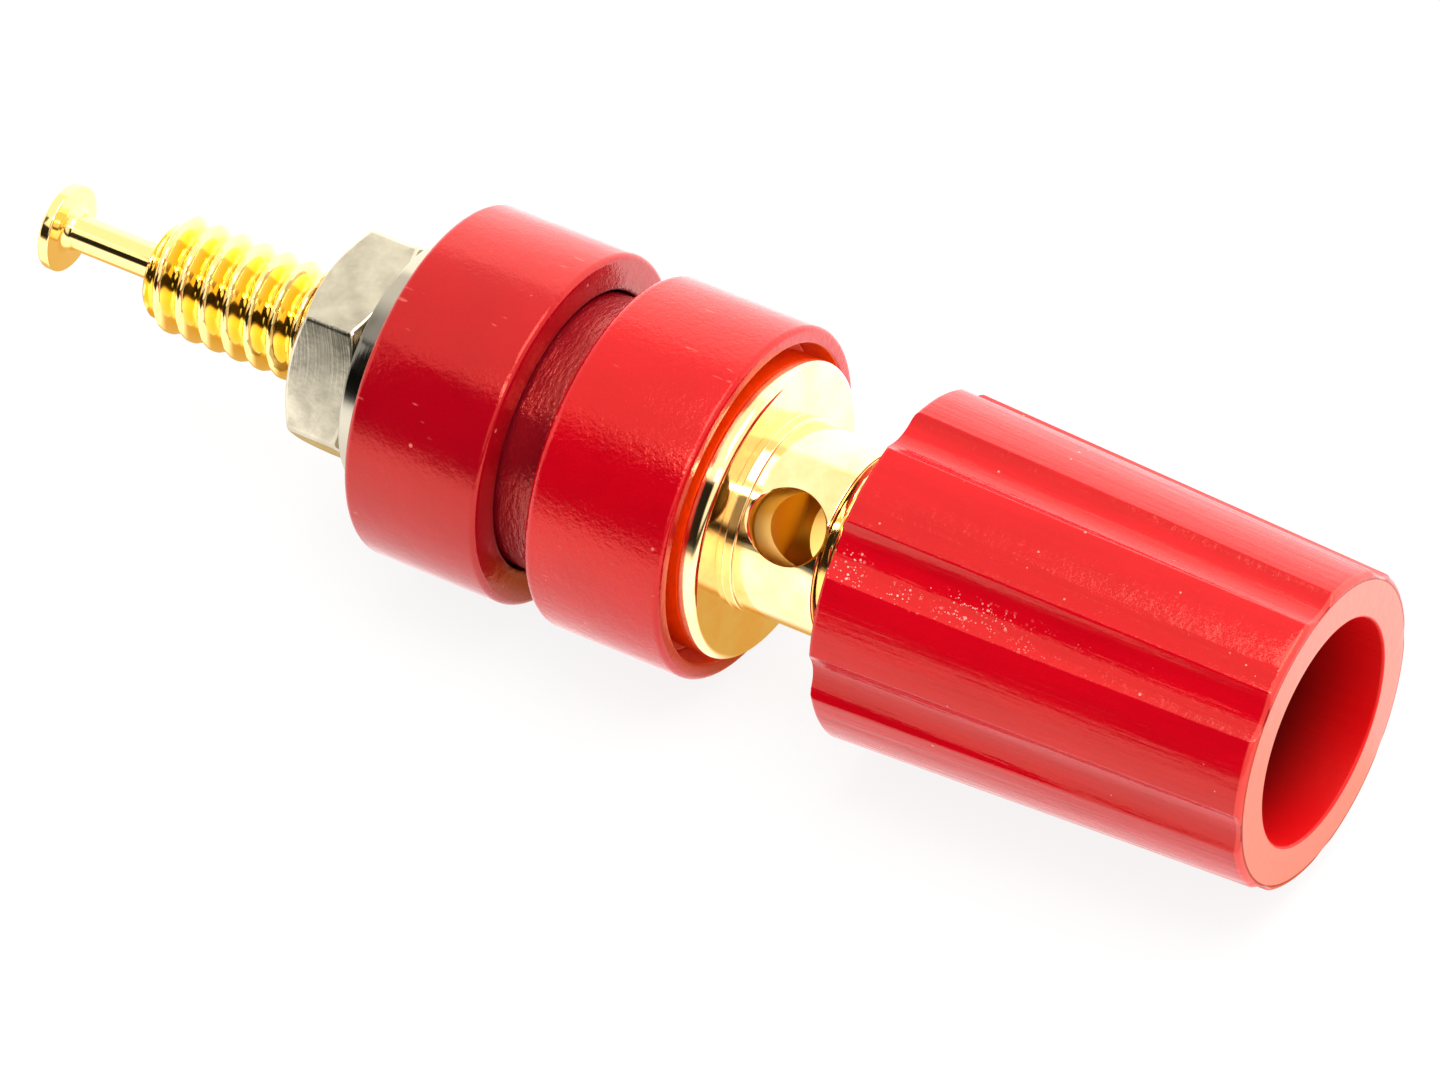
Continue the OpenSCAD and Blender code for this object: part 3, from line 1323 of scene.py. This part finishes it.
@dataclass
class ClampHardware:
    """The washer and the hexagon nut on the stud. Sizes in mm and degrees."""

    washer_r: float = 5.15
    washer_x: float = -8.1
    washer_bore_r: float = 2.48
    nut_back_x: float = -12.7
    nut_front_x: float = -9.7
    flats: int = 6
    half_flats: float = 4.3
    face_r: float = 4.15
    chamfer: float = 32.0
    bore_r: float = 2.43
    sink: float = 0.4
    corner_angle: float = 49.0
    corner_round: float = 0.42
    corner_columns: int = 9
    flat_columns: int = 15
    crown: float = 0.05
    worn: float = 0.09
    columns: int = 112

    def build_washer(self, nickel: Material) -> None:
        """Builds the washer.

        Args:
            nickel: Its finish.
        """
        corners = [
            Corner(self.nut_front_x, self.washer_bore_r, 0.06),
            Corner(self.nut_front_x, self.washer_r, 0.18),
            Corner(self.washer_x, self.washer_r, 0.1),
            Corner(self.washer_x, self.washer_bore_r, 0.06),
        ]
        obj = turned_ring("washer_nickel", corners, self.columns, nickel)
        hand_over(obj, Body.REAR_CLAMP, Slot.NICKEL, "washer")

    def flat_points(self) -> list[Span]:
        """Points across one corner and the slightly crowned flat after it.

        Returns:
            Angles past the corner, in radians, with the radius at each.
        """
        half = math.pi / self.flats
        centre = (self.half_flats - self.corner_round) / math.cos(half)
        points: list[Span] = []
        for lean in np.linspace(-half, half, self.corner_columns):
            out = centre + self.corner_round * math.cos(lean)
            aside = self.corner_round * math.sin(lean)
            points.append((math.atan2(aside, out), math.hypot(out, aside) - self.crown))
        edge = points[-1][0]
        for offset in np.linspace(edge, 2 * half - edge, self.flat_columns)[1:-1]:
            share = math.tan(offset - half) / math.tan(edge - half)
            points.append((offset, self.half_flats / math.cos(offset - half) - self.crown * share * share))
        return points

    def build_nut(self, nickel: Material) -> None:
        """Builds the nut, with chamfered corners and worn edges.

        Args:
            nickel: Its finish.
        """
        back, front = self.nut_back_x, self.nut_front_x
        slope = math.tan(math.radians(self.chamfer))
        columns = []
        for flat in range(self.flats):
            for offset, radius in self.flat_points():
                drop = (radius - self.face_r) * slope
                angle = math.radians(self.corner_angle + 360 / self.flats * flat) + offset
                profile = [
                    (back + self.sink, self.bore_r),
                    (back, self.bore_r + self.sink),
                    (back, self.face_r),
                    (back + drop, radius),
                    (front - drop, radius),
                    (front, self.face_r),
                    (front, self.bore_r + self.sink),
                    (front - self.sink, self.bore_r),
                ]
                columns.append([[x, -r * math.cos(angle), r * math.sin(angle)] for x, r in profile])
        obj = skinned("hex_nut_nickel", np.array(columns), closed=True)
        shade(obj)
        worn = obj.modifiers.new("worn_edges", "BEVEL")
        worn.width = self.worn * MM
        worn.segments = 2
        worn.limit_method = "ANGLE"
        worn.angle_limit = SHARP
        flat_normals = obj.modifiers.new("flat_normals", "WEIGHTED_NORMAL")
        flat_normals.keep_sharp = True
        bake_modifiers(obj)
        dress(obj, nickel)
        hand_over(obj, Body.NUT, Slot.NICKEL, "hex_nut")


@dataclass
class Knob:
    """The red screw knob with its channels and its open mouth. Sizes in mm."""

    rear_x: float = 12.75
    front_x: float = 31.15
    rear_r: float = 7.18
    front_r: float = 6.45
    rear_bore_r: float = 4.4
    mouth_r: float = 4.6
    pocket_r: float = 5.25
    pocket_from_x: float = 17.3
    pocket_to_x: float = 22.9
    row_step: float = 0.42

    def build(self, red: Material) -> None:
        """Builds the knob.

        Args:
            red: Its finish.
        """
        corners = [
            Corner(self.rear_x, self.rear_bore_r, 0.15),
            Corner(self.rear_x, self.rear_r, 0.22),
            Corner(self.front_x, self.front_r, 0.3),
            Corner(self.front_x, self.mouth_r, 0.12),
            Corner(self.pocket_to_x, self.mouth_r),
            Corner(self.pocket_to_x, self.pocket_r),
            Corner(self.pocket_from_x, self.pocket_r),
            Corner(self.pocket_from_x, self.rear_bore_r),
        ]
        flutes = Flutes(
            rear_x=self.rear_x,
            length=self.front_x - self.rear_x,
            rear_r=self.rear_r,
            front_r=self.front_r,
            count=8,
            width=2.45,
            rear_depth=0.48,
            front_depth=0.28,
            first_angle=42,
            soft=0.05,
        )
        profile = filleted(corners, closed=True)
        profile = refined(profile, self.row_step, self.rear_x, self.front_x, closed=True)
        obj = lathe("knob_red", profile, flutes.angles(), closed=True)
        flutes.cut(obj, red)
        shade(obj)
        hand_over(obj, Body.KNOB, Slot.KNOB, "knob_shell")


@dataclass
class Studio:
    """The white table, the surrounding light, the lamps and the camera. Sizes in mm and degrees."""

    azimuth: float = 31.557
    elevation: float = 41.164
    aim_right: float = 3.846
    aim_up: float = -3.486
    distance: float = 485.0
    lens: float = 314.4
    sensor: float = 36.0
    clip: Span = (10.0, 20000.0)
    floor_z: float = -7.27
    floor_half: float = 1500.0
    table: Colour = (0.9, 0.9, 0.9, 1)
    shown_white: float = 0.88
    mirrored_white: float = 0.85
    lit_white: float = 0.2
    table_glow: float = 1.2
    # Painted light in reflections: how bright the table glows, dimmer near the object as a painted shadow and
    # dark beyond an edge on the camera's side.
    stage_light: Span = (1.6, 2.1)
    painted_shadow_foot: Span = (4.0, 20.0)
    stage_edge: Span = (18.0, 130.0)
    # Painted shade: in reflections the table under the post is dim and amber, standing in for its shadow lit
    # by light off the gold.
    painted_amber_shade: Colour = (1.0, 0.66, 0.17, 1)
    painted_amber_level: float = 0.75
    under_reach: Span = (-2.5, 6.8)
    under_soft: float = 1.2
    top_light: float = 1.35
    back_light: float = 2.4
    back_edge: Span = (0.45, 0.58)
    gap_light: float = 0.02
    gap_top: Span = (0.675, 0.725)
    gap_rise: float = 0.2
    gap_side: Span = (-0.4, 0.1)
    gap_lean: float = 0.45
    gap_right: Span = (0.1, 0.5)
    gap_foot: Span = (0.08, 0.28)
    warm: Colour = (1.0, 0.985, 0.94, 1)
    strip_light: float = 16.0
    strip_lift: Span = (51.0, 57.5)
    strip_soft: float = 1.0
    strip_reach: Span = (-0.2, 0.7)
    strip_fade: float = 0.08
    box_place: Triple = (70.0, -20.0, 450.0)
    box_aim: Triple = (0.0, 0.0, 0.0)
    box_size: float = 300.0
    box_watts: float = 1.3
    card_place: Triple = (-35.5, -27.5, 23.0)
    card_aim: Triple = (-18.0, 0.0, 1.0)
    card_size: float = 15.0
    card_watts: float = 0.001

    def camera(self) -> None:
        """Sets the camera where the photograph was taken from."""
        az, el = math.radians(self.azimuth), math.radians(self.elevation)
        back = Vector((math.sin(az) * math.cos(el), -math.cos(az) * math.cos(el), math.sin(el)))
        right = Vector((math.cos(az), math.sin(az), 0))
        up = back.cross(right)
        data = bpy.data.cameras.new("camera")
        data.lens = self.lens
        data.sensor_width = self.sensor
        data.clip_start, data.clip_end = metres(self.clip)
        camera = new_object("camera", data)
        camera.location = (right * self.aim_right + up * self.aim_up + back * self.distance) * MM
        camera.rotation_mode = "QUATERNION"
        camera.rotation_quaternion = (-back).to_track_quat("-Z", "Y")
        bpy.context.scene.camera = camera

    def world(self) -> None:
        """Surrounds the object with white, but for a dim gap between the table and the top light."""
        world = bpy.data.worlds.new("surround")
        bpy.context.scene.world = world
        world.use_nodes = True
        bench = Bench(world.node_tree)
        background = next(n for n in world.node_tree.nodes if n.type == "BACKGROUND")
        towards = bench.add("ShaderNodeTexCoord").outputs["Generated"]
        split = bench.add("ShaderNodeSeparateXYZ", {0: towards}).outputs
        side = bench.math("MULTIPLY_ADD", split[0], -self.gap_lean, split[1])
        sunk = bench.math("MULTIPLY_ADD", split[0], -self.gap_rise, split[2])
        rise = self.gap_rise * math.sin(math.radians(self.azimuth)) * math.cos(math.radians(self.elevation))
        above = bench.ramp(sunk, self.gap_top[0] + rise, self.gap_top[1] + rise)
        behind = bench.ramp(side, *self.gap_side)
        right = bench.times(bench.ramp(split[0], *self.gap_right), bench.ramp(split[2], *self.gap_foot))
        lit = bench.most(bench.most(above, behind), right)
        bright = bench.ramp(split[1], *self.back_edge, self.top_light, self.back_light)
        level = bench.level(lit, self.gap_light, bright)
        path = bench.add("ShaderNodeLightPath").outputs
        seen = path["Is Camera Ray"]
        lift = bench.math("ARCTAN2", split[2], bench.times(split[1], -1.0))
        strip = bench.window(lift, *radians(self.strip_lift), math.radians(self.strip_soft))
        reach = bench.window(split[0], *self.strip_reach, self.strip_fade)
        glint = bench.times(strip, reach, path["Is Glossy Ray"], self.strip_light)
        strength = bench.level(seen, bench.math("ADD", level, glint), 1.0)
        tint = bench.blend(seen, self.warm, WHITE)
        bench.tree.links.new(tint, background.inputs["Color"])
        bench.tree.links.new(strength, background.inputs["Strength"])

    def floor(self) -> None:
        """Lays the white table, which shows a faint shadow. In reflections it glows as painted light: dimmer
        at the object's foot as a painted shadow, dark beyond an edge on the camera's side, and dim amber
        under the post as painted shade.
        """
        half = self.floor_half * MM
        z = self.floor_z * MM
        mesh = bpy.data.meshes.new("table")
        corners = [(-half, -half, z), (half, -half, z), (half, half, z), (-half, half, z)]
        mesh.from_pydata(corners, [], [(0, 1, 2, 3)])
        table = new_object("table", mesh)
        material, bench, shader = new_material("table_white")
        for name, value in {"Base Color": self.table, "Roughness": 1.0, "Specular IOR Level": 0.0}.items():
            shader.inputs[name].default_value = value
        path = bench.add("ShaderNodeLightPath").outputs
        seen = path["Is Camera Ray"]
        mirrored = bench.most(path["Is Glossy Ray"], path["Is Transmission Ray"])
        behind = bench.add("ShaderNodeSeparateXYZ", {0: bench.place()}).outputs[1]
        aside = bench.math("ABSOLUTE", behind)
        near, far = metres(self.stage_edge)
        # Painted light and shadow in reflections: the table glows brighter away from the object and fades
        # beyond an edge on the camera's side.
        mirrored_painted_light = bench.ramp(aside, *metres(self.painted_shadow_foot), *self.stage_light)
        stage = bench.times(mirrored_painted_light, bench.ramp(behind, -far, -near))
        # Painted shade in reflections: a dim amber strip of table under the post.
        painted_amber_shade = bench.window(behind, *metres(self.under_reach), self.under_soft * MM)
        stage = bench.level(painted_amber_shade, stage, self.painted_amber_level)
        level = bench.level(mirrored, self.table_glow, stage)
        level = bench.level(seen, level, 1.0)
        tint = bench.blend(bench.times(painted_amber_shade, mirrored), WHITE, self.painted_amber_shade)
        glow = bench.add("ShaderNodeEmission", {"Color": tint, "Strength": level})
        share = bench.level(mirrored, self.lit_white, self.mirrored_white)
        share = bench.level(seen, share, self.shown_white)
        mixed = bench.add("ShaderNodeMixShader", {0: share, 1: shader.outputs[0], 2: glow.outputs[0]})
        output = next(n for n in bench.tree.nodes if n.type == "OUTPUT_MATERIAL")
        bench.tree.links.new(mixed.outputs[0], output.inputs["Surface"])
        dress(table, material)

    @staticmethod
    def lamp(name: str, place: Triple, aim: Triple, size: float, watts: float) -> None:
        """Hangs a square lamp.

        Args:
            name: The lamp's name.
            place: Where it hangs.
            aim: What it looks at.
            size: How wide it is.
            watts: Its power.
        """
        data = bpy.data.lights.new(name, "AREA")
        data.shape = "SQUARE"
        data.size = size * MM
        data.energy = watts
        lamp = new_object(name, data)
        lamp.location = Vector(place) * MM
        lamp.rotation_mode = "QUATERNION"
        lamp.rotation_quaternion = (Vector(aim) - Vector(place)).to_track_quat("-Z", "Y")

    def build(self) -> None:
        """Sets up the studio, with a soft box above it and a small white card that the stud mirrors."""
        bpy.context.scene.view_settings.view_transform = "Standard"
        self.camera()
        self.world()
        self.floor()
        self.lamp("soft_box", self.box_place, self.box_aim, self.box_size, self.box_watts)
        self.lamp("stud_card", self.card_place, self.card_aim, self.card_size, self.card_watts)


def main() -> None:
    """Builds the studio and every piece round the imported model."""
    logging.basicConfig(level=logging.INFO, format="%(name)s: %(message)s")
    for old in list(bpy.data.objects):
        bpy.data.objects.remove(old)
    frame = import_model()
    Studio().build()
    ContactPost().build(GOLD.build())
    insulators = Insulators()
    insulators.build_front(FRONT_RED.build())
    insulators.build_rear(REAR_RED.build())
    hardware = ClampHardware()
    hardware.build_washer(WASHER.build())
    hardware.build_nut(NICKEL.build())
    Knob().build(KnobFinish().build())
    dress(frame["nodes"]["knob_insert"], BRASS.build())


if __name__ == "__main__":
    main()
